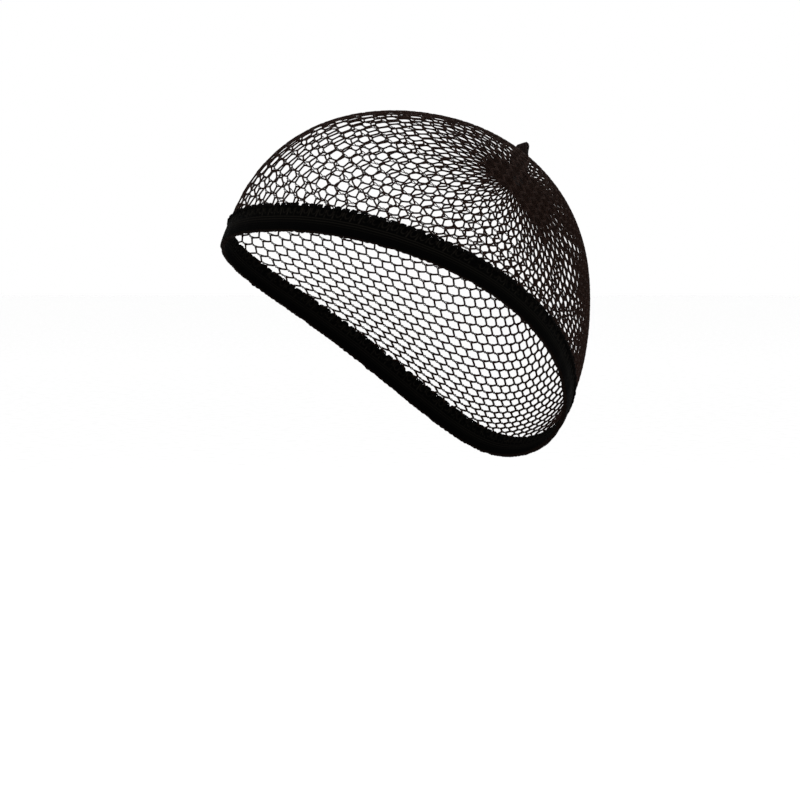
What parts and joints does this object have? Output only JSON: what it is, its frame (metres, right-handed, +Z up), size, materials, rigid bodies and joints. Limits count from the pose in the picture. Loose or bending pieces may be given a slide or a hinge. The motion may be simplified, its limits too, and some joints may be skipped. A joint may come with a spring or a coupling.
{
  "type": "hairnet",
  "caption": "Black fishnet hairnet in its worn form: open six-sided meshes on a knitted elastic band, gathered in a small tail behind the crown.",
  "frame": {"origin": "middle of the opening that the head goes into, halfway between the front and the back of the band's lower edge", "axes": "+Z up along the standing wearer, -Y to the front of the head, +X to the wearer's left"},
  "size_m": [0.1564, 0.1841, 0.1655],
  "materials": {
    "elastic": "matte knit",
    "net_yarn": "matte yarn",
    "gathered_yarn": "matte yarn"
  },
  "bodies": {
    "root": {"elastic_band": "elastic", "net": "net_yarn", "gathered_tail": "gathered_yarn"}
  },
  "joints": []
}
